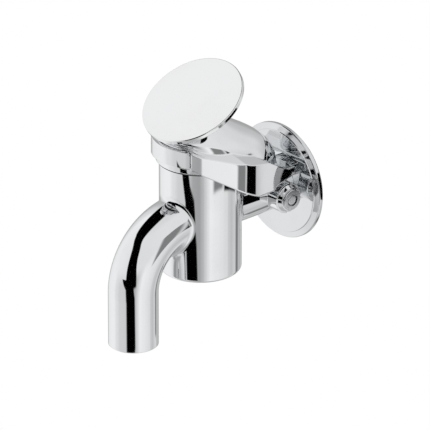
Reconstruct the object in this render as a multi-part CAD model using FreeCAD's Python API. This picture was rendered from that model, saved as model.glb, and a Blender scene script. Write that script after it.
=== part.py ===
import FreeCAD, Part

import math
import os

from FreeCAD import Vector

# Frame: X to the user's right facing the wall, Y into the wall, Z up, in millimetres.
# The origin is the inlet's axis on the wall plane.

# Reaches of cutting shapes, past the part's outside
FAR = 60.0
FAR_BACK = 150.0
FAR_DEEP = 100.0

# Wall flange and inlet
FLANGE_R = 27.5
FLANGE_T = 4.3
FLANGE_STEP_R = 25.6
FLANGE_STEP = 0.5
GASKET_T = 1.2
GASKET_INSET = 1.5
GASKET_CLEAR = 0.3
NECK_R = 10.2
THREAD_R = 10.48
THREAD_END = 12.0
PIPE_R = 11.6
PIPE_BORE_R = 6.5
INLET_WALL = 2.0
FILTER_T = 2.0

# Upright body
BODY_Y = -51.3
BODY_R = 18.75
BODY_LOW = -28.6
BODY_TOP = 25.2
BODY_EDGE = 1.6
CHAMBER_R = 14.5
CHAMBER_FLOOR = 9.0
SUMP_LOW = -16.0

# Spout
SPOUT_R = 11.46
SPOUT_BORE_R = 9.4
SPOUT_Y = -91.6
SPOUT_LOW = -54.0
SPOUT_TOP = -1.0
SPOUT_BEND = 28.0
SPOUT_BLEND = 3.0
PIPE_BLEND = 2.5

# Seat, valve and spindle
SEAT_R = 7.4
SEAT_BORE_R = 5.2
SEAT_LOW = 5.6
SEAT_TOP = 10.0
WASHER_R = 6.8
WASHER_T = 2.5
JUMPER_R = 7.4
JUMPER_T = 2.0
SPINDLE_R = 3.0
SPINDLE_TOP = 41.4
STUD_R = 1.6
NUT_R = 3.4
NUT_T = 2.2
EYE_HALF = 2.2
PIN_Z = 38.5
PIN_R = 1.5
PIN_HALF = 6.6
SPRING_WIRE = 1.1
SPRING_R = 6.0
SPRING_TURNS = 3.5

# Bonnet, gland and guard
COLLAR_R = 20.3
COLLAR_TOP = 29.3
SPIGOT_LOW = 17.0
SPIGOT_BORE_R = 9.0
BONNET_CEILING = 26.0
BONNET_BOSS_R = 8.0
BONNET_BOSS_TOP = 33.2
GLAND_R = 5.4
PACKING_LOW = 27.8
PACKING_T = 2.6
GLAND_HEAD_R = 6.6
GLAND_HEAD_T = 1.6
SEAL_T = 0.8
GUARD_OUT_R = 22.3
GUARD_WALL = 1.8
GUARD_TOP = 37.5
GUARD_PLATE_T = 1.2
GUARD_PLATE_R = 17.8
GUARD_HALF_DEG = 36.2
GUARD_CORNER = 2.2
SCREW_RING_R = 14.2
SCREW_R = 1.5
SCREW_HEAD_R = 2.8
SCREW_LEN = 4.0

# Lever
GAP_HALF_DEG = 37.4
SHOULDER_DEG = 50.0
CORNER_X = 27.5
CORNER_Y = -46.5
CORNER_R = 14.0
TAIL_X = 16.0
TAIL_Y = -8.0
LEVER_WALL = 1.8
NECK_CLEAR = 0.6
TOP_CLEAR = 0.4
BRIDGE_CLEAR = 0.7
SCREW_CLEAR = 1.9
GUARD_CLEAR = 0.3
PIPE_CLEAR = 1.15
RIM = [(-75.0, 32.4), (-48.0, 15.7), (-38.0, 10.6), (-25.5, 8.4), (-22.8, 10.0), (0.0, 10.0)]
LEDGE = [(-75.0, 38.1), (-37.8, 26.2), (-29.2, 23.6), (-22.75, 19.8), (-13.5, 14.6), (-7.0, 13.5)]
HINGE_Y = -16.8
HINGE_Z = 19.0
HINGE_R = 2.0
EAR_HALF = 3.0
EAR_R = 3.2
CHEEK_T = 3.0
PIN_STOP = 0.8
CHEEK_R = 3.4
LUG_T = 3.0
LUG_HALF_Y = 5.0
LUG_LOW = 35.9
LUG_TOP = 52.0
WEB_TOP = 32.0
PIN_PLAY = 0.2
RIB_X = 10.8
RIB_HALF_Y = 3.7
RIB_LOW = 10.4
RIB_TOP = 14.0
BOLT_TRAVEL = 1.5
BOLT_POCKET_LOW = 5.0
BOLT_POCKET_TOP = 13.0
SLOT_TRAVEL = 3.2
FIT = 0.05
SIDE_PLAY = 0.3
PLUG_R = 3.0
PLUG_T = 1.2

# Dome sections, from foot to crown: gap behind the guard's inside, front Z, rear Y, rear Z, half width
DOME = [
    (2.6, 33.5, -9.0, 12.6, 21.0),
    (2.4, 36.4, -9.4, 18.6, 19.6),
    (1.2, 39.2, -16.6, 28.6, 18.2),
    (3.0, 41.8, -35.0, 41.0, 15.0),
]
# The sloping shoulder between the walls' top edge and the dome: crest height along Y, and rise per side
CREST = [(-75.0, 39.2), (-67.8, 37.7), (-48.5, 33.4), (-35.5, 27.6), (-29.2, 23.7), (-22.75, 19.8)]
SHOULDER_X = 19.0
SHOULDER_Y = -48.5
SHOULDER_Z = 33.3
SHOULDER_REAR_Y = -35.5
SHOULDER_REAR_Z = 27.5
DOME_FRONT_BIAS = 0.22
FOOT_DEPTH = 8.0

# Disc
DISC_Y = -56.2
DISC_Z = 55.5
DISC_R = 24.5
DISC_T = 2.1
DISC_TILT = 31.6
DISC_EDGE = 0.4
CROWN_R = 9.0
HUB_R = 5.0
HUB_LEN = 3.0
DISC_SCREW_R = 2.0
DISC_SCREW_LEN = 9.0
DISC_SCREW_HEAD_R = 3.5
DISC_SCREW_HEAD_T = 2.4

# Lock
LOCK_Y = -13.6
LOCK_BOSS_R = 7.2
LOCK_BOSS_END = 17.4
LOCK_NOSE_R = 5.4
LOCK_NOSE_END = 19.4
LOCK_BORE_START = 10.2
LOCK_FACE = 20.6
LOCK_HEAD_R = 4.95
BARREL_R = 4.0
BARREL_START = 14.9
KEYWAY_R = 2.95
POST_R = 2.45
PLUG_BODY_R = 2.9
KEYWAY_DEPTH = 2.0
CRANK_R = 3.7
CRANK_T = 1.6
CRANK_PIN_OUT = 2.4
CRANK_PIN_R = 0.7
BOLT_R = 1.4
BOLT_X = 12.0
BOLT_LOW = 3.9
BOLT_TOP = 6.9
SET_SCREW_R = 1.25
SET_SCREW_X = 16.4

Z = Vector(0, 0, 1)
Y = Vector(0, 1, 0)
X = Vector(1, 0, 0)


def rod(radius, start, direction, length):
    return Part.makeCylinder(radius, length, start, direction)


def tube(outer, inner, start, direction, length):
    return rod(outer, start, direction, length).cut(rod(inner, start, direction, length))


def upright(radius, low, high, y=BODY_Y):
    return rod(radius, Vector(0, y, low), Z, high - low)


def box(x0, x1, y0, y1, z0, z1):
    return Part.makeBox(x1 - x0, y1 - y0, z1 - z0, Vector(x0, y0, z0))


def hexagon(radius, start, length):
    corners = [start + Vector(radius * math.cos(math.radians(60 * i)),
                              radius * math.sin(math.radians(60 * i)), 0) for i in range(7)]
    return Part.Face(Part.makePolygon(corners)).extrude(Vector(0, 0, length))


def side_plate(points, half):
    """A profile in the YZ plane, extruded both ways along X."""
    corners = [Vector(-half, y, z) for y, z in points]
    corners.append(corners[0])
    return Part.Face(Part.makePolygon(corners)).extrude(Vector(2 * half, 0, 0))


def on_circle(radius, degrees, z=0.0):
    a = math.radians(degrees)
    return Vector(radius * math.sin(a), BODY_Y - radius * math.cos(a), z)


def mirrored(shape):
    return shape.mirror(Vector(0, 0, 0), X)


def disc_frame(distance):
    """A point on the disc's axis, measured from its top face, and that axis."""
    tilt = math.radians(DISC_TILT)
    axis = Vector(0, -math.sin(tilt), math.cos(tilt))
    return Vector(0, DISC_Y, DISC_Z) + axis * distance, axis


def spout(radius):
    bend_y = SPOUT_Y + SPOUT_BEND
    bend_z = SPOUT_TOP - SPOUT_BEND
    run = rod(radius, Vector(0, BODY_Y, SPOUT_TOP), -Y, BODY_Y - bend_y)
    circle = Part.Face(Part.Wire(Part.makeCircle(radius, Vector(0, bend_y, SPOUT_TOP), Y)))
    turn = circle.revolve(Vector(0, bend_y, bend_z), X, 90)
    drop = rod(radius, Vector(0, SPOUT_Y, SPOUT_LOW), Z, bend_z - SPOUT_LOW)
    return run.fuse([turn, drop])


def body_casting():
    barrel = upright(BODY_R, BODY_LOW, BODY_TOP)
    foot = [e for e in barrel.Edges if e.BoundBox.ZMax < BODY_LOW + 0.01 and len(e.Vertexes) == 1]
    barrel = barrel.makeFillet(BODY_EDGE, foot)
    pipe = rod(PIPE_R, Vector(0, BODY_Y, 0), Y, -FLANGE_T - BODY_Y)
    outer = barrel.fuse([pipe, spout(SPOUT_R)]).removeSplitter()
    outer = blended(outer)
    neck = rod(NECK_R, Vector(0, -FLANGE_T - 1.0, 0), Y, FLANGE_T + 2.0)
    thread = rod(THREAD_R, Vector(0, 0, 0), Y, THREAD_END)
    ear_width = 2 * EAR_HALF
    ear = rod(EAR_R, Vector(-EAR_HALF, HINGE_Y, HINGE_Z), X, ear_width)
    ear_post = box(-EAR_HALF, EAR_HALF, HINGE_Y - EAR_R, HINGE_Y + EAR_R / 2,
                   PIPE_BORE_R + INLET_WALL, HINGE_Z)
    boss_start = PIPE_BORE_R + INLET_WALL
    boss = rod(LOCK_BOSS_R, Vector(boss_start, LOCK_Y, 0), X, LOCK_BOSS_END - boss_start)
    nose = Part.makeCone(LOCK_BOSS_R - 0.8, LOCK_NOSE_R, LOCK_NOSE_END - LOCK_BOSS_END,
                         Vector(LOCK_BOSS_END, LOCK_Y, 0), X)
    solid = outer.fuse([neck, thread, ear, ear_post, boss, nose])
    hollow = [
        spout_waterway(),
        rod(PIPE_BORE_R, Vector(0, BODY_Y, 0), Y, THREAD_END - BODY_Y + 1.0),
        rod(PIPE_BORE_R + 1.5, Vector(0, THREAD_END - FILTER_T - 1.0, 0), Y, FILTER_T + 2.0),
        upright(PIPE_BORE_R, SUMP_LOW, SEAT_LOW),
        upright(SEAT_R, SEAT_LOW, CHAMBER_FLOOR + 1.0),
        upright(CHAMBER_R, CHAMBER_FLOOR, BODY_TOP + 1.0),
        rod(HINGE_R + FIT, Vector(-EAR_HALF - 1, HINGE_Y, HINGE_Z), X, ear_width + 2),
        rod(BARREL_R + FIT, Vector(LOCK_BORE_START, LOCK_Y, 0), X, LOCK_FACE),
        rod(BOLT_R + FIT, Vector(BOLT_X, LOCK_Y, 0), Z, LOCK_BOSS_R + 1),
        rod(SET_SCREW_R, Vector(SET_SCREW_X, LOCK_Y, 0), -Z, LOCK_BOSS_R + 1),
    ]
    return solid.cut(hollow)


def spout_waterway():
    """The outlet's passage: over the inlet chamber's wall, then down the spout."""
    wall_y = BODY_Y - PIPE_BORE_R - 2.2
    passage = spout(SPOUT_BORE_R).common(box(-FAR, FAR, -FAR_BACK, wall_y, -FAR_DEEP, FAR))
    mouth = rod(SPOUT_BORE_R, Vector(0, SPOUT_Y, SPOUT_LOW - 1), Z, 2)
    riser = box(-8.5, 8.5, wall_y - 4.2, wall_y, SPOUT_TOP, CHAMBER_FLOOR + 1)
    riser = riser.common(upright(CHAMBER_R, SPOUT_TOP, CHAMBER_FLOOR + 1))
    return passage.fuse([mouth, riser])


def on_barrel(edge):
    """True for an edge where another form leaves the side of the upright body."""
    corners = [math.hypot(v.X, v.Y - BODY_Y) for v in edge.Vertexes]
    upright_run = edge.BoundBox.ZLength > 0.01 and edge.BoundBox.ZMin > BODY_LOW + BODY_EDGE
    return upright_run and all(abs(r - BODY_R) < 0.01 for r in corners)


def blended(shape):
    """Rounds the joints where the spout and the inlet pipe leave the body."""
    front = [e for e in shape.Edges if on_barrel(e) and e.BoundBox.YMax < BODY_Y]
    shape = shape.makeFillet(SPOUT_BLEND, front)
    rear = [e for e in shape.Edges if on_barrel(e) and e.BoundBox.YMin > BODY_Y]
    return shape.makeFillet(PIPE_BLEND, rear)


def wall_flange():
    plate = rod(FLANGE_R, Vector(0, -FLANGE_T, 0), Y, FLANGE_T - GASKET_T)
    step = tube(FLANGE_R + 1, FLANGE_STEP_R, Vector(0, -FLANGE_T - 0.1, 0), Y, FLANGE_STEP + 0.1)
    plate = plate.cut(step)
    return plate.cut(rod(NECK_R + FIT, Vector(0, -FLANGE_T - 1, 0), Y, FLANGE_T + 2))


def flange_gasket():
    hole_r = THREAD_R + GASKET_CLEAR
    return tube(FLANGE_R - GASKET_INSET, hole_r, Vector(0, -GASKET_T, 0), Y, GASKET_T)


def inlet_filter():
    start = Vector(0, THREAD_END - FILTER_T - 1.0, 0)
    disc = rod(PIPE_BORE_R + 1.5 - FIT, start, Y, FILTER_T)
    holes = []
    for i in range(-2, 3):
        for j in range(-2, 3):
            holes.append(rod(0.75, start + Vector(2.3 * i, -1, 2.3 * j), Y, FILTER_T + 2))
    return disc.cut(holes)


def valve_seat():
    return upright(SEAT_R - FIT, SEAT_LOW, CHAMBER_FLOOR).fuse(
        Part.makeCone(SEAT_R - FIT, SEAT_BORE_R + 0.8, SEAT_TOP - CHAMBER_FLOOR,
                      Vector(0, BODY_Y, CHAMBER_FLOOR), Z)).cut(
        upright(SEAT_BORE_R, SEAT_LOW - 1, SEAT_TOP + 1))


def jumper_washer():
    return upright(WASHER_R, SEAT_TOP, SEAT_TOP + WASHER_T).cut(
        upright(STUD_R + FIT, SEAT_TOP - 1, SEAT_TOP + WASHER_T + 1))


def valve_jumper():
    low = SEAT_TOP + WASHER_T
    plate = upright(JUMPER_R, low, low + JUMPER_T)
    return plate.cut(upright(STUD_R + FIT, low - 1, low + JUMPER_T + 1))


def jumper_nut():
    nut = hexagon(NUT_R, Vector(0, BODY_Y, SEAT_TOP - NUT_T), NUT_T)
    return nut.cut(upright(STUD_R, SEAT_TOP - NUT_T - 1, SEAT_TOP + 1))


def spindle():
    low = SEAT_TOP + WASHER_T + JUMPER_T
    stem = upright(SPINDLE_R, low, SPINDLE_TOP)
    stud = upright(STUD_R, SEAT_TOP - NUT_T - 0.6, low)
    flats = [box(EYE_HALF, 9, BODY_Y - 9, BODY_Y + 9, LUG_LOW - 1, SPINDLE_TOP + 1),
             box(-9, -EYE_HALF, BODY_Y - 9, BODY_Y + 9, LUG_LOW - 1, SPINDLE_TOP + 1)]
    eye = rod(PIN_R, Vector(-9, BODY_Y, PIN_Z), X, 18)
    return stem.fuse(stud).cut(flats + [eye])


def spindle_pin():
    return rod(PIN_R, Vector(-PIN_HALF, BODY_Y, PIN_Z), X, 2 * PIN_HALF)


def valve_spring():
    low = SEAT_TOP + WASHER_T + JUMPER_T + SPRING_WIRE / 2
    high = BONNET_CEILING - SPRING_WIRE / 2
    pitch = (high - low) / SPRING_TURNS
    coil = Part.makeHelix(pitch, high - low, SPRING_R)
    start = Part.makeCircle(SPRING_WIRE / 2, Vector(SPRING_R, 0, 0), Y)
    spring = Part.Wire(coil).makePipeShell([Part.Wire(start)], True, True)
    spring.translate(Vector(0, BODY_Y, low))
    return spring


def guard_screw_places():
    return [on_circle(SCREW_RING_R, a, COLLAR_TOP + GUARD_PLATE_T) for a in (0, 120, 240)]


def bonnet():
    collar = upright(COLLAR_R, BODY_TOP + SEAL_T, COLLAR_TOP)
    spigot = upright(CHAMBER_R - FIT, SPIGOT_LOW, BODY_TOP + SEAL_T)
    boss = upright(BONNET_BOSS_R, COLLAR_TOP, BONNET_BOSS_TOP)
    hollow = [upright(SPIGOT_BORE_R, SPIGOT_LOW - 1, BONNET_CEILING),
              upright(SPINDLE_R + FIT, BONNET_CEILING - 1, COLLAR_TOP),
              upright(GLAND_R, PACKING_LOW, BONNET_BOSS_TOP + 1)]
    for top in guard_screw_places():
        hollow.append(rod(SCREW_R, top, -Z, SCREW_LEN))
    return collar.fuse([spigot, boss]).cut(hollow)


def bonnet_washer():
    return upright(COLLAR_R - 0.6, BODY_TOP, BODY_TOP + SEAL_T).cut(
        upright(CHAMBER_R, BODY_TOP - 1, BODY_TOP + SEAL_T + 1))


def spindle_packing():
    return upright(GLAND_R, PACKING_LOW, PACKING_LOW + PACKING_T).cut(
        upright(SPINDLE_R + FIT, PACKING_LOW - 1, PACKING_LOW + PACKING_T + 1))


def gland_nut():
    low = PACKING_LOW + PACKING_T
    sleeve = upright(GLAND_R, low, BONNET_BOSS_TOP)
    head = hexagon(GLAND_HEAD_R, Vector(0, BODY_Y, BONNET_BOSS_TOP), GLAND_HEAD_T)
    return sleeve.fuse(head).cut(upright(SPINDLE_R + FIT, low - 1, BONNET_BOSS_TOP + GLAND_HEAD_T + 1))


def sector(inner, outer, low, high, half_deg):
    ring = upright(outer, low, high).cut(upright(inner, low - 1, high + 1))
    wedge = Part.makePolygon([Vector(0, BODY_Y, low - 1), on_circle(FAR, -half_deg, low - 1),
                              on_circle(FAR, 0, low - 1), on_circle(FAR, half_deg, low - 1),
                              Vector(0, BODY_Y, low - 1)])
    return ring.common(Part.Face(wedge).extrude(Vector(0, 0, high - low + 2)))


def front_guard():
    plate_top = COLLAR_TOP + GUARD_PLATE_T
    strip = sector(GUARD_OUT_R - GUARD_WALL, GUARD_OUT_R, COLLAR_TOP, GUARD_TOP, GUARD_HALF_DEG)
    corners = [e for e in strip.Edges if e.BoundBox.ZMin > GUARD_TOP - 0.01
               and len(e.Vertexes) == 2 and abs(e.Length - GUARD_WALL) < 0.01]
    strip = strip.makeFillet(GUARD_CORNER, corners)
    bridge = sector(GUARD_PLATE_R - 1, GUARD_OUT_R, COLLAR_TOP, plate_top, GUARD_HALF_DEG)
    plate = upright(GUARD_PLATE_R, COLLAR_TOP, plate_top).cut(
        upright(BONNET_BOSS_R + FIT, COLLAR_TOP - 1, plate_top + 1))
    guard = strip.fuse([bridge, plate]).removeSplitter()
    holes = [rod(SCREW_R, top - Z * 2, Z, GUARD_PLATE_T + 3) for top in guard_screw_places()]
    return guard.cut(holes)


def guard_screws():
    screws = []
    for top in guard_screw_places():
        head = rod(SCREW_HEAD_R, top, Z, 1.4)
        cross = box(top.x - 2, top.x + 2, top.y - 0.35, top.y + 0.35, top.z + 0.8, top.z + 2)
        screws.append(head.fuse(rod(SCREW_R, top, -Z, SCREW_LEN)).cut(cross))
    return Part.makeCompound(screws)


def lever_plan(inset, low, high):
    """The lever's outline from above, as an upright prism."""
    inner_r = GUARD_OUT_R - GUARD_WALL - 0.4 - inset
    outer_r = GUARD_OUT_R - inset
    gap = on_circle(outer_r, GAP_HALF_DEG, low)
    front = on_circle(inner_r, GAP_HALF_DEG, low)
    shoulder = on_circle(outer_r, SHOULDER_DEG, low)
    corner = Vector(CORNER_X - 1.08 * inset, CORNER_Y, low)
    tail = Vector(TAIL_X - inset, TAIL_Y, low)
    side = (corner - shoulder).normalize()
    back = (tail - corner).normalize()
    turn = math.acos(side.dot(back))
    reach = (CORNER_R - inset) * math.tan(turn / 2)
    start = corner - side * reach
    end = corner + back * reach
    bisector = (back - side).normalize()
    middle = corner + bisector * ((CORNER_R - inset) * (1 / math.cos(turn / 2) - 1))
    right = [
        Part.makeLine(front, gap),
        Part.Arc(gap, on_circle(outer_r, (GAP_HALF_DEG + SHOULDER_DEG) / 2, low), shoulder).toShape(),
        Part.makeLine(shoulder, start),
        Part.Arc(start, middle, end).toShape(),
        Part.makeLine(end, tail),
    ]
    left = [mirrored(edge) for edge in right]
    nose = Part.Arc(front, on_circle(inner_r, 0, low), Vector(-front.x, front.y, low)).toShape()
    close = Part.makeLine(tail, Vector(-tail.x, tail.y, low))
    wire = Part.Wire(Part.__sortEdges__(right + left + [nose, close]))
    return Part.Face(wire).extrude(Vector(0, 0, high - low))


def skirt(inset, top_drop, bottom_extra):
    top = [(y, z - top_drop) for y, z in LEDGE]
    bottom = [(y, z - bottom_extra) for y, z in RIM]
    profile = side_plate(top + list(reversed(bottom)), FAR)
    return lever_plan(inset, -FAR, FAR).common(profile)


def ledge_z(y):
    """The height of the walls' top edge at a place along Y."""
    for (y0, z0), (y1, z1) in zip(LEDGE, LEDGE[1:]):
        if y0 <= y <= y1:
            return z0 + (z1 - z0) * (y - y0) / (y1 - y0)


def below(p, q, r):
    """A thick slab under the plane through three points."""
    normal = (q - p).cross(r - p).normalize()
    along = (q - p).normalize() * FAR_BACK
    across = normal.cross(along)
    corners = [p + along + across, p - along + across, p - along - across, p + along - across]
    return Part.Face(Part.makePolygon(corners + corners[:1])).extrude(Vector(0, 0, -FAR_DEEP))


def shoulder():
    """Two planes a side that rise from the walls' top edge to the dome."""
    front = on_circle(GUARD_OUT_R, SHOULDER_DEG)
    front.z = ledge_z(front.y)
    corner = Vector(CORNER_X, CORNER_Y, ledge_z(CORNER_Y))
    slope = (TAIL_X - CORNER_X) / (TAIL_Y - CORNER_Y)
    rear_y = CREST[-2][0]
    rear = Vector(CORNER_X + slope * (rear_y - CORNER_Y), rear_y, ledge_z(rear_y))
    side = below(front, corner, Vector(SHOULDER_X, SHOULDER_Y, SHOULDER_Z))
    back = below(corner, rear, Vector(SHOULDER_X, SHOULDER_REAR_Y, SHOULDER_REAR_Z))
    seat = [(y, z - LEVER_WALL / 2) for y, z in reversed(LEDGE) if y <= CREST[-1][0]]
    body = lever_plan(0.0, -FAR, FAR).common(side_plate(CREST + seat, FAR))
    for cut in (side, back, mirrored(side), mirrored(back)):
        body = body.common(cut)
    return body


def dome_section(front_gap, front_z, rear_y, rear_z, half, inset):
    """One closed egg-shaped ring of the dome, wider towards the front."""
    front_y = BODY_Y - GUARD_OUT_R + GUARD_WALL + front_gap
    length = math.hypot(rear_y - front_y, rear_z - front_z)
    along = Vector(0, rear_y - front_y, rear_z - front_z).normalize()
    centre = Vector(0, (front_y + rear_y) / 2, (front_z + rear_z) / 2)
    semi = length / 2 - inset
    points = []
    count = 20
    for i in range(count):
        t = 2 * math.pi * i / count
        width = (half - inset) * math.sin(t) * (1 - DOME_FRONT_BIAS * math.cos(t))
        points.append(centre + along * (semi * math.cos(t)) + X * width)
    curve = Part.BSplineCurve()
    curve.interpolate(Points=points, PeriodicFlag=True)
    return Part.Wire(curve.toShape())


def crown_section(radius, distance):
    centre, axis = disc_frame(distance)
    along = Vector(0, axis.z, -axis.y)
    points = []
    count = 20
    for i in range(count):
        t = 2 * math.pi * i / count
        points.append(centre + along * (radius * math.cos(t)) + X * (radius * math.sin(t)))
    curve = Part.BSplineCurve()
    curve.interpolate(Points=points, PeriodicFlag=True)
    return Part.Wire(curve.toShape())


def dome_outer():
    wires = [dome_section(*row, 0.0) for row in DOME]
    wires.append(crown_section(CROWN_R, -DISC_T - FIT))
    return Part.makeLoft(wires, True, False)


def dome_inner():
    wires = [dome_section(*row, LEVER_WALL + 0.4) for row in DOME]
    wires = [w.translated(Vector(0, 0, -1.0)) for w in wires]
    wires.append(crown_section(CROWN_R - 3.2, -DISC_T - HUB_LEN - 2.2))
    mouth = Part.Face(wires[0]).extrude(Vector(0, 0, -FOOT_DEPTH))
    return Part.makeLoft(wires, True, False).fuse(mouth)


def lever():
    shell = skirt(0.0, 0.0, 0.0).fuse([shoulder(), dome_outer()])
    shell = shell.cut(skirt(LEVER_WALL, LEVER_WALL, 30.0))
    shell = shell.cut(dome_inner())
    neck_r = COLLAR_R + NECK_CLEAR
    plate_top = COLLAR_TOP + GUARD_PLATE_T
    shell = shell.cut(upright(neck_r, BODY_LOW, COLLAR_TOP + TOP_CLEAR))
    shell = shell.cut(sector(1.0, neck_r, BODY_LOW, plate_top + BRIDGE_CLEAR, FAR))
    shell = shell.cut(upright(GUARD_PLATE_R + TOP_CLEAR, BODY_LOW, plate_top + SCREW_CLEAR))
    guard_in_r = GUARD_OUT_R - GUARD_WALL
    shell = shell.cut(sector(guard_in_r - GUARD_CLEAR, GUARD_OUT_R + 1.0, BODY_LOW,
                             GUARD_TOP + GUARD_CLEAR, GAP_HALF_DEG))
    shell = shell.cut(rod(PIPE_R + PIPE_CLEAR, Vector(0, BODY_Y, 0), Y, FAR))
    x0 = EAR_HALF + SIDE_PLAY
    lug = box(x0, x0 + LUG_T, BODY_Y - LUG_HALF_Y, BODY_Y + LUG_HALF_Y, LUG_LOW, LUG_TOP)
    cheek = rod(CHEEK_R, Vector(x0, HINGE_Y, HINGE_Z), X, CHEEK_T)
    web = box(x0, x0 + CHEEK_T, HINGE_Y - CHEEK_R, HINGE_Y + 1.0, HINGE_Z, WEB_TOP)
    solid = dome_outer()
    inside = [piece.common(solid) for piece in (lug, cheek.fuse(web))]
    inside += [mirrored(piece) for piece in inside]
    rib = box(RIB_X, TAIL_X + 2, LOCK_Y - RIB_HALF_Y, LOCK_Y + RIB_HALF_Y, RIB_LOW, RIB_TOP)
    rib = rib.common(skirt(0.3, 0.3, 0.0))
    body = shell.fuse(inside + [rib])
    slot = pin_slot()
    body = body.cut([slot, mirrored(slot)])
    cheek_end = x0 + CHEEK_T
    body = body.cut(rod(HINGE_R, Vector(-FAR, HINGE_Y, HINGE_Z), X, FAR + cheek_end - PIN_STOP))
    body = body.cut(rod(PLUG_R, Vector(-FAR, HINGE_Y, HINGE_Z), X, FAR - cheek_end))
    body = body.cut(bolt_pocket())
    body = body.cut(disc_hub(FIT)).cut(disc_screw_shape(FIT))
    return largest(body)


def pin_slot():
    """The slot in a lug: the spindle's pin runs along it as the lever swings."""
    start = EAR_HALF + SIDE_PLAY - PIN_PLAY
    width = LUG_T + 2 * PIN_PLAY
    radius = PIN_R + PIN_PLAY
    ends = [rod(radius, Vector(start, BODY_Y - s, PIN_Z), X, width) for s in (0, SLOT_TRAVEL)]
    run = box(start, start + width, BODY_Y - SLOT_TRAVEL, BODY_Y, PIN_Z - radius, PIN_Z + radius)
    return run.fuse(ends)


def bolt_pocket():
    """The slot over the bolt: as long as the lever's travel there."""
    half = BOLT_R + 0.3
    return box(BOLT_X - half, BOLT_X + half, LOCK_Y - half, LOCK_Y + half + BOLT_TRAVEL,
               BOLT_POCKET_LOW, BOLT_POCKET_TOP)


def largest(shape):
    return max(shape.Solids, key=lambda s: s.Volume)


def disc_hub(clear):
    start, axis = disc_frame(-DISC_T)
    return rod(HUB_R + clear, start, -axis, HUB_LEN + clear)


def disc_screw_shape(clear):
    start, axis = disc_frame(-DISC_T + 1.0 - DISC_SCREW_LEN)
    shank = rod(DISC_SCREW_R + clear, start, axis, DISC_SCREW_LEN - 0.4)
    head = rod(DISC_SCREW_HEAD_R + 4 * clear, start, -axis, DISC_SCREW_HEAD_T + 40 * clear)
    return shank.fuse(head)


def handle_disc():
    start, axis = disc_frame(-DISC_T)
    plate = rod(DISC_R, start, axis, DISC_T)
    rims = [e for e in plate.Edges if len(e.Vertexes) == 1]
    plate = plate.makeFillet(DISC_EDGE, rims)
    return plate.fuse(disc_hub(0.0)).cut(disc_screw_shape(0.0))


def hinge_pin():
    start = -EAR_HALF - SIDE_PLAY - CHEEK_T
    return rod(HINGE_R, Vector(start, HINGE_Y, HINGE_Z), X, -2 * start - PIN_STOP)


def hinge_plug():
    start = -EAR_HALF - SIDE_PLAY - CHEEK_T
    return rod(PLUG_R, Vector(start, HINGE_Y, HINGE_Z), -X, PLUG_T)


def lock_barrel():
    barrel = rod(BARREL_R, Vector(BARREL_START, LOCK_Y, 0), X, LOCK_FACE - BARREL_START)
    head = rod(LOCK_HEAD_R, Vector(LOCK_NOSE_END, LOCK_Y, 0), X, LOCK_FACE - LOCK_NOSE_END)
    rims = [e for e in head.Edges if len(e.Vertexes) == 1 and e.BoundBox.XMin > LOCK_FACE - 0.01]
    head = head.makeFillet(0.5, rims)
    return barrel.fuse(head).cut(rod(KEYWAY_R, Vector(BARREL_START - 1, LOCK_Y, 0), X, 20))


def lock_plug():
    body_end = LOCK_FACE - KEYWAY_DEPTH
    start = BARREL_START - CRANK_T
    plug = rod(PLUG_BODY_R, Vector(start, LOCK_Y, 0), X, body_end - start)
    post = rod(POST_R, Vector(body_end, LOCK_Y, 0), X, LOCK_FACE - 0.2 - body_end)
    rims = [e for e in post.Edges if len(e.Vertexes) == 1 and e.BoundBox.XMin > LOCK_FACE - 0.21]
    return plug.fuse(post.makeFillet(0.5, rims))


def lock_crank():
    start = BARREL_START - CRANK_T
    ring = rod(CRANK_R, Vector(start, LOCK_Y, 0), X, CRANK_T - 0.1)
    ring = ring.cut(rod(PLUG_BODY_R, Vector(start - 1, LOCK_Y, 0), X, CRANK_T + 1))
    plate = rod(CRANK_R, Vector(start - 0.8, LOCK_Y, 0), X, 0.8)
    pin = rod(CRANK_PIN_R, Vector(start - 2.2, LOCK_Y - CRANK_PIN_OUT, 0), X, 1.6)
    return ring.fuse([plate, pin])


def lock_bolt():
    return rod(BOLT_R, Vector(BOLT_X, LOCK_Y, BOLT_LOW), Z, BOLT_TOP - BOLT_LOW)


def lock_screw():
    return rod(SET_SCREW_R, Vector(SET_SCREW_X, LOCK_Y, -BARREL_R), -Z, LOCK_BOSS_R - BARREL_R - 0.6)


NODES = {
    "body_casting": body_casting,
    "wall_flange": wall_flange,
    "flange_gasket": flange_gasket,
    "inlet_filter": inlet_filter,
    "valve_seat": valve_seat,
    "jumper_washer": jumper_washer,
    "valve_jumper": valve_jumper,
    "jumper_nut": jumper_nut,
    "spindle": spindle,
    "spindle_pin": spindle_pin,
    "valve_spring": valve_spring,
    "bonnet": bonnet,
    "bonnet_washer": bonnet_washer,
    "spindle_packing": spindle_packing,
    "gland_nut": gland_nut,
    "front_guard": front_guard,
    "guard_screws": guard_screws,
    "lever": lever,
    "hinge_pin": hinge_pin,
    "hinge_plug": hinge_plug,
    "handle_disc": handle_disc,
    "disc_screw": lambda: disc_screw_shape(0.0),
    "lock_barrel": lock_barrel,
    "lock_plug": lock_plug,
    "lock_crank": lock_crank,
    "lock_bolt": lock_bolt,
    "lock_screw": lock_screw,
}

os.makedirs("parts", exist_ok=True)
for name, make in NODES.items():
    shape = make()
    print(name, "solids", len(shape.Solids), "valid", shape.isValid(), "volume", round(shape.Volume, 1))
    shape.exportStep("parts/" + name + ".step")
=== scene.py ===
"""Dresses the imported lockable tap: plating, rubber, brass and steel, and a wall flange with soft edges."""
import math

import bpy
import numpy as np
from mathutils import Matrix, Vector


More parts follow.
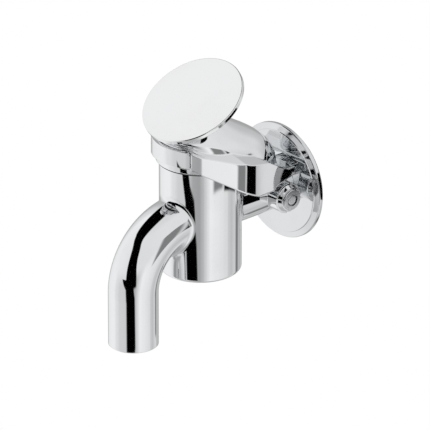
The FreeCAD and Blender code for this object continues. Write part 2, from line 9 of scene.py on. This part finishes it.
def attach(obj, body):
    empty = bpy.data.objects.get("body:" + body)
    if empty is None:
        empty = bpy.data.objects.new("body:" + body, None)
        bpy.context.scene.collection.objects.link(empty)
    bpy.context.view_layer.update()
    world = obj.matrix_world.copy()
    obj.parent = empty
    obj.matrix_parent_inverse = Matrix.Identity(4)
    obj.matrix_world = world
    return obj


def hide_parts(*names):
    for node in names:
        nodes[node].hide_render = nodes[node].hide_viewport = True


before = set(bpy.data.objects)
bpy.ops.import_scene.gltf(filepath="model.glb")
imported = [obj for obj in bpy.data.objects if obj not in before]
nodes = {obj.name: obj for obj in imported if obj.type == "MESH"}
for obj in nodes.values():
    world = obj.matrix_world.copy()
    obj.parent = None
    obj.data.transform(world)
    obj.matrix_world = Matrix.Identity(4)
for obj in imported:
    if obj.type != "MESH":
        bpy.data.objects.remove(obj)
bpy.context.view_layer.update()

MM = 0.001

# Wall flange, in millimetres: its size is that of the part's source
FLANGE_R, FLANGE_T, GASKET_T, NECK_R = 27.5, 4.3, 1.2, 10.25
FLANGE_FACE_R, FLANGE_STEP, FLANGE_TAPER = 24.4, 0.5, 1.1

# Camera: it looks from 48.57 degrees round from the front and 24.8 degrees up
PHOTO_SIZE = 430
CAMERA_AZIMUTH = 48.57
CAMERA_WAY, CAMERA_RIGHT = (0.6805, -0.6005, 0.4198), (0.6616, 0.7498, 0.0)
CAMERA_REACH, SENSOR, PIXELS_PER_MM = 2.7, 36.0, 2.213
AXIS_COLUMN, AXIS_ROW = 194.11, 211.25
AIM_Y = -0.055

# Studio, in metres: reach of the tent, of the arch inside it and of the flags beside the lever, and the floor
TENT_REACH, ARCH_REACH, RING_REACH, CORNER_REACH = 1.6, 1.5, 0.1, 0.102
FLOOR_Z, FLOOR_HALF = -1.75, 3
LAMP_AIM = (0, -0.05, 0)


# Studio

def aim_camera():
    """A long lens at the photograph's angle."""
    toward = Vector(CAMERA_WAY).normalized()
    right = Vector(CAMERA_RIGHT).normalized()
    up = toward.cross(right).normalized()
    turn = Matrix((right, up, toward)).transposed().to_4x4()
    data = bpy.data.cameras.new("camera")
    data.sensor_width = SENSOR
    data.lens = PIXELS_PER_MM * CAMERA_REACH / MM / PHOTO_SIZE * SENSOR
    data.shift_x = (PHOTO_SIZE / 2 - AXIS_COLUMN) / PHOTO_SIZE
    data.shift_y = (AXIS_ROW - PHOTO_SIZE / 2) / PHOTO_SIZE
    data.clip_end = 20.0
    camera = bpy.data.objects.new("camera", data)
    camera.matrix_world = Matrix.Translation(Vector((0, AIM_Y, 0)) + CAMERA_REACH * toward) @ turn
    bpy.context.scene.collection.objects.link(camera)
    bpy.context.scene.camera = camera


def pale_world():
    """White where the camera, metal or glass looks past the object, and a plain soft light elsewhere."""
    world = bpy.data.worlds.new("pale_room")
    bpy.context.scene.world = world
    world.use_nodes = True
    tree = world.node_tree
    tree.nodes.clear()
    out = tree.nodes.new("ShaderNodeOutputWorld")
    mix = tree.nodes.new("ShaderNodeMixShader")
    soft = tree.nodes.new("ShaderNodeBackground")
    white = tree.nodes.new("ShaderNodeBackground")
    path = tree.nodes.new("ShaderNodeLightPath")
    seen = tree.nodes.new("ShaderNodeMath")
    seen.operation = "MAXIMUM"
    seen_too = tree.nodes.new("ShaderNodeMath")
    seen_too.operation = "MAXIMUM"
    soft.inputs["Color"].default_value = (0.9, 0.92, 0.95, 1)
    soft.inputs["Strength"].default_value = 0.55
    white.inputs["Color"].default_value = (1, 1, 1, 1)
    white.inputs["Strength"].default_value = 1.0
    tree.links.new(path.outputs["Is Camera Ray"], seen.inputs[0])
    tree.links.new(path.outputs["Is Glossy Ray"], seen.inputs[1])
    tree.links.new(seen.outputs[0], seen_too.inputs[0])
    tree.links.new(path.outputs["Is Transmission Ray"], seen_too.inputs[1])
    tree.links.new(seen_too.outputs[0], mix.inputs[0])
    tree.links.new(soft.outputs[0], mix.inputs[1])
    tree.links.new(white.outputs[0], mix.inputs[2])
    tree.links.new(mix.outputs[0], out.inputs["Surface"])


def ramp_node(tree, stops):
    """A colour ramp of grey levels, given as degrees from -180 to 180 and a level."""
    node = tree.nodes.new("ShaderNodeValToRGB")
    ramp = node.color_ramp
    ramp.interpolation = "EASE"
    while len(ramp.elements) < len(stops):
        ramp.elements.new(0.5)
    for element, (degrees, level) in zip(ramp.elements, sorted(stops)):
        element.position = (degrees + 180) / 360
        element.color = (level, level, level, 1)
    return node


# Grey levels round the tent, in degrees from the camera's side, positive to the right
LOW_RING = [(-180, 0.4), (-164, 0.45), (-135, 0.95), (-110, 1.0), (-95, 1.0), (-78, 0.86), (-60, 0.74),
            (-38, 0.72), (-30, 0.6), (-20, 0.45), (-5, 0.42), (5, 0.55), (12, 0.72), (20, 0.88), (26, 1.0),
            (45, 0.95), (60, 0.9), (73, 0.84), (84, 0.72), (95, 0.62), (106, 0.7), (118, 0.82),
            (130, 0.62), (140, 0.5), (152, 0.62), (166, 0.42), (180, 0.4)]
HIGH_RING = [(-180, 0.45), (-163, 0.5), (-148, 0.8), (-130, 1.0), (-90, 0.95), (-40, 0.88), (0, 0.86),
             (60, 0.88), (100, 0.86), (135, 0.8), (155, 0.6), (170, 0.45), (180, 0.45)]


def flag_paint(name, level, soft):
    """Flag paint of one grey level that fades out at the edges.
    The fade is a smooth step of the distance to the nearest edge on the flag's own UV map."""
    material = bpy.data.materials.new(name)
    material.use_nodes = True
    tree = material.node_tree
    tree.nodes.clear()
    link = tree.links.new
    out = tree.nodes.new("ShaderNodeOutputMaterial")
    glow, clear = tree.nodes.new("ShaderNodeEmission"), tree.nodes.new("ShaderNodeBsdfTransparent")
    glow.inputs["Color"].default_value = (level, level, level, 1)
    mix = tree.nodes.new("ShaderNodeMixShader")
    place, split = tree.nodes.new("ShaderNodeUVMap"), tree.nodes.new("ShaderNodeSeparateXYZ")
    link(place.outputs["UV"], split.inputs[0])
    fades = []
    for axis in (0, 1):
        back = tree.nodes.new("ShaderNodeMath")
        back.operation = "PINGPONG"
        back.inputs[1].default_value = 0.5
        fade = tree.nodes.new("ShaderNodeMapRange")
        fade.interpolation_type = "SMOOTHSTEP"
        fade.inputs["From Max"].default_value = max(soft[axis] / 2, 0.001)
        link(split.outputs[axis], back.inputs[0])
        link(back.outputs[0], fade.inputs["Value"])
        fades.append(fade)
    both = tree.nodes.new("ShaderNodeMath")
    both.operation = "MULTIPLY"
    link(fades[0].outputs["Result"], both.inputs[0])
    link(fades[1].outputs["Result"], both.inputs[1])
    link(both.outputs[0], mix.inputs[0])
    link(clear.outputs[0], mix.inputs[1])
    link(glow.outputs[0], mix.inputs[2])
    link(mix.outputs[0], out.inputs["Surface"])
    return material


def flag(name, left, right, level, soft):
    """A studio flag between two edge lines of as many points, filled straight across between them.
    Only the metal's reflections see it."""
    left, right = np.array(left, float), np.array(right, float)
    rows, steps = len(left), 9
    across = np.linspace(0, 1, steps)[None, :, None]
    verts = (left[:, None, :] * (1 - across) + right[:, None, :] * across).reshape(-1, 3)
    first = (np.arange(rows - 1)[:, None] * steps + np.arange(steps - 1)[None, :]).reshape(-1)
    faces = np.stack((first, first + 1, first + steps + 1, first + steps), -1)
    mesh = bpy.data.meshes.new(name)
    mesh.from_pydata(verts, [], faces.tolist())
    u, v = np.meshgrid(np.linspace(0, 1, steps), np.linspace(0, 1, rows))
    flat = np.stack((u, v), -1).reshape(-1, 2)
    corners = flat[faces.reshape(-1)].astype(np.float32)
    mesh.uv_layers.new(name="UVMap").data.foreach_set("uv", corners.reshape(-1))
    card = bpy.data.objects.new(name, mesh)
    bpy.context.scene.collection.objects.link(card)
    mesh.materials.append(flag_paint(name + "_paint", level, soft))
    card.visible_camera = card.visible_diffuse = card.visible_shadow = card.visible_transmission = False


def direction(azimuth, elevation):
    """Unit directions from degrees round from the camera's side and degrees up."""
    az, el = np.radians(np.asarray(azimuth) + CAMERA_AZIMUTH), np.radians(np.asarray(elevation))
    return np.stack((np.sin(az) * np.cos(el), -np.cos(az) * np.cos(el), np.sin(el)), -1)


def dark_arch():
    """A dark sheet on the tent that climbs from the front, leans over to the left and passes the zenith.
    Its two edges are smooth curves through pairs of directions: azimuth and elevation left, then right."""
    pairs = np.array([(-36, -12, 8, -12), (-42, 0, 2, 0), (-48, 12, -7, 11), (-53, 24, -14, 22),
                      (-64, 36, -20, 36),
                      (-84, 40, -34, 48), (-104, 44, -24, 60), (-120, 50, 2, 72), (-138, 52, 66, 79),
                      (-156, 48, 150, 66), (-170, 40, 165, 52)], float)
    edges = []
    for azimuth, elevation in ((0, 1), (2, 3)):
        line = direction(pairs[:, azimuth], pairs[:, elevation])
        at = np.linspace(0, len(line) - 1, 61)
        line = np.stack([np.interp(at, np.arange(len(line)), line[:, k]) for k in range(3)], -1)
        for _ in range(6):
            line[1:-1] = (line[:-2] + 2 * line[1:-1] + line[2:]) / 4
        edges.append(line / np.linalg.norm(line, axis=1)[:, None] * ARCH_REACH)
    flag("dark_arch", edges[0], edges[1], 0.0, (0.16, 0.06))


def ring_flag(name, centre, degrees, heights, level, soft, reach=RING_REACH):
    """A flag bent round an upright axis: from one azimuth to another, and from one height to another."""
    az = np.radians(np.linspace(*degrees))
    ring = np.array((*centre, 0)) + np.stack((np.sin(az), -np.cos(az), 0 * az), -1) * reach
    low, high = (ring + np.array((0, 0, height)) for height in heights)
    flag(name, low, high, level, soft)


def near_flags():
    """Flags close to the tap: one leaning low in front, two round the lever's corner, one low on the side."""
    middle = np.array((0.0351, -0.1661))
    along = np.array((0.956, 0.292))

    def edge(places):
        return [(*(middle + along * s * MM), z * MM) for s, z in places]

    flag("front_flag", edge([(-50, -16), (-34, -27), (-18, -36), (-13, -62), (-11, -100)]),
         edge([(0, -16), (14, -27), (38, -36), (56, -62), (62, -100)]), 0.0, (0.24, 0.03))
    corner = (0.025, -0.045)
    ring_flag("side_flag", corner, (112, 168, 7), (-0.035, 0.03), 0.0, (0.06, 0.25))
    ring_flag("corner_flag", corner, (72, 116, 7), (-0.035, 0.03), 0.25, (0.1, 0.5), CORNER_REACH)
    ring_flag("low_side_flag", (0.017, -0.045), (158, 184, 5), (-0.12, -0.037), 0.2, (0.1, 0.9))


def studio_tent():
    """A painted tent round the tap, which only the metal's reflections see: one ring of greys at and under
    the horizon, one above it, a pale crown and a grey foot. Angles come from the place on the tent itself."""
    columns, rows = 73, 37
    az, el = np.meshgrid(np.radians(np.linspace(0, 360, columns)), np.radians(np.linspace(-89, 89, rows)))
    verts = np.stack((np.sin(az) * np.cos(el), -np.cos(az) * np.cos(el), np.sin(el)), -1)
    verts = verts.reshape(-1, 3) * TENT_REACH
    first = (np.arange(rows - 1)[:, None] * columns + np.arange(columns - 1)[None, :]).reshape(-1)
    mesh = bpy.data.meshes.new("studio_tent")
    faces = np.stack((first, first + 1, first + columns + 1, first + columns), -1)
    mesh.from_pydata(verts, [], faces.tolist())
    tent = bpy.data.objects.new("studio_tent", mesh)
    bpy.context.scene.collection.objects.link(tent)
    tent.visible_camera = tent.visible_diffuse = tent.visible_shadow = tent.visible_transmission = False
    material = bpy.data.materials.new("tent_paint")
    material.use_nodes = True
    tree = material.node_tree
    tree.nodes.clear()
    link = tree.links.new
    out, glow = tree.nodes.new("ShaderNodeOutputMaterial"), tree.nodes.new("ShaderNodeEmission")
    coords, split = tree.nodes.new("ShaderNodeTexCoord"), tree.nodes.new("ShaderNodeSeparateXYZ")
    turn = tree.nodes.new("ShaderNodeMapping")
    turn.inputs["Rotation"].default_value = (0, 0, math.radians(-CAMERA_AZIMUTH))
    link(coords.outputs["Object"], turn.inputs["Vector"])
    link(turn.outputs["Vector"], split.inputs[0])
    front = tree.nodes.new("ShaderNodeMath")
    front.operation = "MULTIPLY"
    front.inputs[1].default_value = -1
    link(split.outputs["Y"], front.inputs[0])
    around = tree.nodes.new("ShaderNodeMath")
    around.operation = "ARCTAN2"
    link(split.outputs["X"], around.inputs[0])
    link(front.outputs[0], around.inputs[1])
    share = tree.nodes.new("ShaderNodeMapRange")
    share.inputs["From Min"].default_value = -math.pi
    share.inputs["From Max"].default_value = math.pi
    link(around.outputs[0], share.inputs["Value"])
    low, high = ramp_node(tree, LOW_RING), ramp_node(tree, HIGH_RING)
    link(share.outputs["Result"], low.inputs[0])
    link(share.outputs["Result"], high.inputs[0])
    levels = low.outputs["Color"]
    for name, bottom, top, paint in (("rise", -0.14, 0.16, high.outputs["Color"]),
                                     ("crown", 0.75, 0.95, (0.8, 0.8, 0.8, 1)),
                                     ("foot", -0.8, -0.97, (0.5, 0.5, 0.5, 1))):
        step = tree.nodes.new("ShaderNodeMapRange")
        step.name = name
        step.interpolation_type = "SMOOTHSTEP"
        step.inputs["From Min"].default_value = bottom * TENT_REACH
        step.inputs["From Max"].default_value = top * TENT_REACH
        link(split.outputs["Z"], step.inputs["Value"])
        mix = tree.nodes.new("ShaderNodeMix")
        mix.data_type = "RGBA"
        link(step.outputs["Result"], mix.inputs[0])
        link(levels, mix.inputs[6])
        if isinstance(paint, tuple):
            mix.inputs[7].default_value = paint
        else:
            link(paint, mix.inputs[7])
        levels = mix.outputs[2]
    link(levels, glow.inputs["Color"])
    link(glow.outputs[0], out.inputs["Surface"])
    mesh.materials.append(material)


def soft_lamp(name, position, size, watts):
    """A square area lamp that faces the tap."""
    data = bpy.data.lights.new(name, "AREA")
    data.size = size
    data.energy = watts
    lamp = bpy.data.objects.new(name, data)
    lamp.location = position
    lamp.rotation_euler = (Vector(LAMP_AIM) - Vector(position)).to_track_quat("-Z", "Y").to_euler()
    lamp.visible_glossy = False
    bpy.context.scene.collection.objects.link(lamp)


def pale_floor():
    """A white floor well under the spout: matt to the light that bounces off it, and plain white to the
    camera and to the metal's reflections.
    """
    mesh = bpy.data.meshes.new("floor")
    corners = [(FLOOR_HALF * x, FLOOR_HALF * y, FLOOR_Z) for x, y in ((-1, -1), (1, -1), (1, 1), (-1, 1))]
    mesh.from_pydata(corners, [], [(0, 1, 2, 3)])
    floor = bpy.data.objects.new("floor", mesh)
    bpy.context.scene.collection.objects.link(floor)
    material = bpy.data.materials.new("floor_paint")
    material.use_nodes = True
    tree = material.node_tree
    tree.nodes.clear()
    out = tree.nodes.new("ShaderNodeOutputMaterial")
    mix = tree.nodes.new("ShaderNodeMixShader")
    matt = tree.nodes.new("ShaderNodeBsdfDiffuse")
    white = tree.nodes.new("ShaderNodeEmission")
    path = tree.nodes.new("ShaderNodeLightPath")
    seen = tree.nodes.new("ShaderNodeMath")
    seen.operation = "MAXIMUM"
    matt.inputs["Color"].default_value = (0.85, 0.85, 0.85, 1)
    white.inputs["Color"].default_value = (1, 1, 1, 1)
    tree.links.new(path.outputs["Is Camera Ray"], seen.inputs[0])
    tree.links.new(path.outputs["Is Glossy Ray"], seen.inputs[1])
    tree.links.new(seen.outputs[0], mix.inputs[0])
    tree.links.new(matt.outputs[0], mix.inputs[1])
    tree.links.new(white.outputs[0], mix.inputs[2])
    tree.links.new(mix.outputs[0], out.inputs["Surface"])
    mesh.materials.append(material)


# Finishes

def group_sockets(group, inputs, outputs):
    """Adds named sockets: inputs with their values, outputs with their kinds."""
    for name, kind, value in inputs:
        socket = group.interface.new_socket(name=name, in_out="INPUT", socket_type=kind)
        if value is not None:
            socket.default_value = value
    for name, kind in outputs:
        group.interface.new_socket(name=name, in_out="OUTPUT", socket_type=kind)


def hand_marks_group():
    """Faint cloudy marks of handling and water: two noises, one broad and one fine, on Object coordinates.
    Puts out a roughness that drifts round its base, a slightly dulled colour and a low wavy height."""
    group = bpy.data.node_groups.new("hand_marks", "ShaderNodeTree")
    group_sockets(group, [
        ("Colour", "NodeSocketColor", (0.8, 0.8, 0.8, 1)),
        ("Dull colour", "NodeSocketColor", (0.7, 0.7, 0.7, 1)),
        ("Roughness", "NodeSocketFloat", 0.05),
        ("Drift", "NodeSocketFloat", 0.04),
        ("Scale", "NodeSocketFloat", 60.0),
    ], [("Colour", "NodeSocketColor"), ("Roughness", "NodeSocketFloat"), ("Height", "NodeSocketFloat")])
    nodes_, link = group.nodes, group.links.new
    start, end = nodes_.new("NodeGroupInput"), nodes_.new("NodeGroupOutput")
    coords = nodes_.new("ShaderNodeTexCoord")
    broad, fine = nodes_.new("ShaderNodeTexNoise"), nodes_.new("ShaderNodeTexNoise")
    broad.inputs["Detail"].default_value = 3.0
    fine.inputs["Detail"].default_value = 6.0
    finer = nodes_.new("ShaderNodeMath")
    finer.operation = "MULTIPLY"
    finer.inputs[1].default_value = 9.0
    link(coords.outputs["Object"], broad.inputs["Vector"])
    link(coords.outputs["Object"], fine.inputs["Vector"])
    link(start.outputs["Scale"], broad.inputs["Scale"])
    link(start.outputs["Scale"], finer.inputs[0])
    link(finer.outputs[0], fine.inputs["Scale"])
    patch = nodes_.new("ShaderNodeMapRange")
    patch.inputs["From Min"].default_value = 0.42
    patch.inputs["From Max"].default_value = 0.72
    link(broad.outputs["Fac"], patch.inputs["Value"])
    grain = nodes_.new("ShaderNodeMath")
    grain.operation = "MULTIPLY"
    link(patch.outputs["Result"], grain.inputs[0])
    link(fine.outputs["Fac"], grain.inputs[1])
    drift = nodes_.new("ShaderNodeMath")
    drift.operation = "MULTIPLY_ADD"
    link(grain.outputs[0], drift.inputs[0])
    link(start.outputs["Drift"], drift.inputs[1])
    link(start.outputs["Roughness"], drift.inputs[2])
    tint = nodes_.new("ShaderNodeMix")
    tint.data_type = "RGBA"
    link(grain.outputs[0], tint.inputs[0])
    link(start.outputs["Colour"], tint.inputs[6])
    link(start.outputs["Dull colour"], tint.inputs[7])
    link(tint.outputs[2], end.inputs["Colour"])
    link(drift.outputs[0], end.inputs["Roughness"])
    link(broad.outputs["Fac"], end.inputs["Height"])
    return group


def turned_lines_group():
    """Fine lathe or brush lines: a wave of rings or bands on Object coordinates, broken up by noise."""
    group = bpy.data.node_groups.new("turned_lines", "ShaderNodeTree")
    group_sockets(group, [
        ("Vector", "NodeSocketVector", None),
        ("Colour", "NodeSocketColor", (0.6, 0.6, 0.6, 1)),
        ("Line colour", "NodeSocketColor", (0.5, 0.5, 0.5, 1)),
        ("Roughness", "NodeSocketFloat", 0.3),
        ("Spread", "NodeSocketFloat", 0.1),
        ("Scale", "NodeSocketFloat", 900.0),
    ], [("Colour", "NodeSocketColor"), ("Roughness", "NodeSocketFloat"), ("Height", "NodeSocketFloat")])
    nodes_, link = group.nodes, group.links.new
    start, end = nodes_.new("NodeGroupInput"), nodes_.new("NodeGroupOutput")
    wave = nodes_.new("ShaderNodeTexWave")
    wave.wave_type = "BANDS"
    wave.bands_direction = "Z"
    wave.inputs["Distortion"].default_value = 1.5
    wave.inputs["Detail"].default_value = 3.0
    link(start.outputs["Vector"], wave.inputs["Vector"])
    link(start.outputs["Scale"], wave.inputs["Scale"])
    tint = nodes_.new("ShaderNodeMix")
    tint.data_type = "RGBA"
    link(wave.outputs["Fac"], tint.inputs[0])
    link(start.outputs["Colour"], tint.inputs[6])
    link(start.outputs["Line colour"], tint.inputs[7])
    spread = nodes_.new("ShaderNodeMath")
    spread.operation = "MULTIPLY_ADD"
    link(wave.outputs["Fac"], spread.inputs[0])
    link(start.outputs["Spread"], spread.inputs[1])
    link(start.outputs["Roughness"], spread.inputs[2])
    link(tint.outputs[2], end.inputs["Colour"])
    link(spread.outputs[0], end.inputs["Roughness"])
    link(wave.outputs["Fac"], end.inputs["Height"])
    return group


HAND_MARKS = hand_marks_group()
TURNED_LINES = turned_lines_group()


def metal(name, colour, dull, roughness, drift, scale=60.0, lines=None, bump=0.02, lines_turn=(0, 0, 0),
          eased=None):
    """A metal with hand marks over it. Where lines is given, it has fine turned lines of that scale as well.
    Where eased is given, its sharp edges shade as if rounded to that radius in millimetres."""
    material = bpy.data.materials.new(name)
    material.use_nodes = True
    tree = material.node_tree
    shader = tree.nodes["Principled BSDF"]
    shader.inputs["Metallic"].default_value = 1.0
    marks = tree.nodes.new("ShaderNodeGroup")
    marks.node_tree = HAND_MARKS
    marks.inputs["Colour"].default_value = (*colour, 1)
    marks.inputs["Dull colour"].default_value = (*dull, 1)
    marks.inputs["Roughness"].default_value = roughness
    marks.inputs["Drift"].default_value = drift
    marks.inputs["Scale"].default_value = scale
    colour_out, rough_out, height_out = (marks.outputs[n] for n in ("Colour", "Roughness", "Height"))
    if lines:
        coords = tree.nodes.new("ShaderNodeTexCoord")
        turn = tree.nodes.new("ShaderNodeMapping")
        turn.inputs["Rotation"].default_value = lines_turn
        tree.links.new(coords.outputs["Object"], turn.inputs["Vector"])
        cut = tree.nodes.new("ShaderNodeGroup")
        cut.node_tree = TURNED_LINES
        cut.inputs["Scale"].default_value = lines
        cut.inputs["Spread"].default_value = 0.12
        cut.inputs["Line colour"].default_value = (*dull, 1)
        tree.links.new(turn.outputs["Vector"], cut.inputs["Vector"])
        tree.links.new(marks.outputs["Colour"], cut.inputs["Colour"])
        tree.links.new(marks.outputs["Roughness"], cut.inputs["Roughness"])
        colour_out, rough_out, height_out = (cut.outputs[n] for n in ("Colour", "Roughness", "Height"))
    relief = tree.nodes.new("ShaderNodeBump")
    relief.inputs["Strength"].default_value = bump
    relief.inputs["Distance"].default_value = 0.02 * MM
    if eased:
        corners = tree.nodes.new("ShaderNodeBevel")
        corners.samples = 16
        corners.inputs["Radius"].default_value = eased * MM
        tree.links.new(corners.outputs["Normal"], relief.inputs["Normal"])
    tree.links.new(colour_out, shader.inputs["Base Color"])
    tree.links.new(rough_out, shader.inputs["Roughness"])
    tree.links.new(height_out, relief.inputs["Height"])
    tree.links.new(relief.outputs["Normal"], shader.inputs["Normal"])
    return material


def rubber(name, colour):
    """Black moulded rubber with a fine matt grain."""
    material = bpy.data.materials.new(name)
    material.use_nodes = True
    tree = material.node_tree
    shader = tree.nodes["Principled BSDF"]
    marks = tree.nodes.new("ShaderNodeGroup")
    marks.node_tree = HAND_MARKS
    marks.inputs["Colour"].default_value = (*colour, 1)
    marks.inputs["Dull colour"].default_value = tuple(2.2 * c for c in colour) + (1,)
    marks.inputs["Roughness"].default_value = 0.62
    marks.inputs["Drift"].default_value = 0.25
    marks.inputs["Scale"].default_value = 180.0
    relief = tree.nodes.new("ShaderNodeBump")
    relief.inputs["Strength"].default_value = 0.3
    relief.inputs["Distance"].default_value = 0.1 * MM
    tree.links.new(marks.outputs["Colour"], shader.inputs["Base Color"])
    tree.links.new(marks.outputs["Roughness"], shader.inputs["Roughness"])
    tree.links.new(marks.outputs["Height"], relief.inputs["Height"])
    tree.links.new(relief.outputs["Normal"], shader.inputs["Normal"])
    return material


PLATING = metal("chrome_plating", (0.82, 0.83, 0.84), (0.76, 0.77, 0.78), 0.035, 0.05, eased=0.5)
LEVER_PLATING = metal("lever_plating", (0.82, 0.83, 0.84), (0.76, 0.77, 0.78), 0.04, 0.05, eased=1.0)
# The flange's plating is the body's chrome made darker: painted shade that dims the bright reflection on its
# face.
SHADED_FLANGE_PLATING = metal("flange_plating_painted_shade", (0.73, 0.74, 0.75), (0.68, 0.69, 0.7), 0.05, 0.04)
DISC_PLATING = metal("disc_plating", (0.84, 0.845, 0.85), (0.79, 0.79, 0.8), 0.045, 0.05, scale=40.0)
LOCK_PLATING = metal("lock_plating", (0.7, 0.71, 0.72), (0.55, 0.56, 0.57), 0.16, 0.12, scale=220.0,
                     lines=1400.0, bump=0.08, lines_turn=(0, math.radians(90), 0))
TURNED_BRASS = metal("turned_brass", (0.78, 0.58, 0.27), (0.6, 0.42, 0.18), 0.24, 0.15, scale=120.0,
                     lines=1100.0, bump=0.1)
TURNED_STEEL = metal("turned_steel", (0.62, 0.63, 0.65), (0.48, 0.49, 0.5), 0.22, 0.12, scale=150.0,
                     lines=1200.0, bump=0.1)
SPRING_STEEL = metal("spring_steel", (0.5, 0.51, 0.53), (0.36, 0.36, 0.38), 0.3, 0.15, scale=250.0)
BLACK_RUBBER = rubber("black_rubber", (0.012, 0.012, 0.013))


def dress(node, material):
    """Gives a CAD node its finish and leaves its shape alone."""
    data = nodes[node].data
    data.materials.clear()
    data.materials.append(material)


# Pieces made here

def rounded_profile(corners, steps=6, support=0.12):
    """Closed outline through corners (radius, height, rounding) in millimetres. Each corner becomes an arc,
    c + (sin((1 - t) a) u + sin(t a) w) / sin a, with u and w the spokes to its ends and a the angle between.
    A support point stands close to each end, so that flat faces stay flat in the shading."""
    outline = []
    for k, (r, y, rounding) in enumerate(corners):
        here = np.array((r, y))
        before, after = (np.array(corners[j % len(corners)][:2]) - here for j in (k - 1, k + 1))
        before, after = before / np.linalg.norm(before), after / np.linalg.norm(after)
        half = math.acos(before @ after) / 2
        centre = here + (before + after) / np.linalg.norm(before + after) * rounding / math.sin(half)
        start, end = (here + way * rounding / math.tan(half) for way in (before, after))
        u, w = start - centre, end - centre
        angle = math.pi - 2 * half
        outline.append(start + before * support)
        for t in np.linspace(0, 1, steps + 1):
            spoke = (math.sin((1 - t) * angle) * u + math.sin(t * angle) * w) / math.sin(angle)
            outline.append(centre + spoke)
        outline.append(end + after * support)
    return np.array(outline)


def lathed(name, outline, segments=180):
    """A closed outline (r, y) turned about the inlet's axis: the point (r cos a, y, r sin a), a full turn."""
    angle = np.linspace(0, 2 * math.pi, segments, endpoint=False)[:, None]
    r, y = outline[None, :, 0], outline[None, :, 1]
    verts = np.stack((r * np.cos(angle), y + 0 * angle, r * np.sin(angle)), -1).reshape(-1, 3) * MM
    count = len(outline)
    i, j = np.meshgrid(np.arange(segments), np.arange(count), indexing="ij")
    ahead, up = (i + 1) % segments, (j + 1) % count
    faces = np.stack((i * count + j, i * count + up, ahead * count + up, ahead * count + j), -1)
    faces = faces.reshape(-1, 4)
    mesh = bpy.data.meshes.new(name)
    mesh.from_pydata(verts, [], faces.tolist())
    mesh.shade_smooth()
    piece = bpy.data.objects.new(name, mesh)
    bpy.context.scene.collection.objects.link(piece)
    return piece


def soft_edged_flange():
    """The wall flange with its turned step, a slightly tapered rim and polished round edges."""
    front, back = -FLANGE_T, -GASKET_T
    flange = lathed("turned_flange", rounded_profile([
        (NECK_R, front, 0.15), (FLANGE_FACE_R, front, 0.25),
        (FLANGE_FACE_R + 0.15, front + FLANGE_STEP, 0.12),
        (FLANGE_R, front + FLANGE_TAPER, 0.55), (FLANGE_R, back, 0.35), (NECK_R, back, 0.1)]))
    # Darker plating on the flange: painted shade on its face.
    flange.data.materials.append(SHADED_FLANGE_PLATING)
    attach(flange, "tap_body")
    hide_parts("wall_flange")


soft_edged_flange()

for name in ("body_casting", "bonnet", "front_guard", "hinge_plug"):
    dress(name, PLATING)
dress("lever", LEVER_PLATING)
dress("handle_disc", DISC_PLATING)
for name in ("lock_barrel", "lock_plug"):
    dress(name, LOCK_PLATING)
for name in ("valve_seat", "valve_jumper", "jumper_nut", "spindle", "gland_nut", "lock_crank"):
    dress(name, TURNED_BRASS)
for name in ("inlet_filter", "spindle_pin", "guard_screws", "hinge_pin", "disc_screw", "lock_bolt",
             "lock_screw"):
    dress(name, TURNED_STEEL)
dress("valve_spring", SPRING_STEEL)
for name in ("flange_gasket", "jumper_washer", "bonnet_washer", "spindle_packing"):
    dress(name, BLACK_RUBBER)

aim_camera()
pale_world()
pale_floor()
soft_lamp("key_lamp", (1.4, -1.4, 1.6), 1.6, 18)
soft_lamp("side_lamp", (-1.8, -1.0, 0.8), 1.4, 8)
studio_tent()
dark_arch()
near_flags()

bpy.context.scene.view_settings.view_transform = "Standard"
bpy.context.scene.cycles.max_bounces = 16
bpy.context.scene.cycles.glossy_bounces = 14
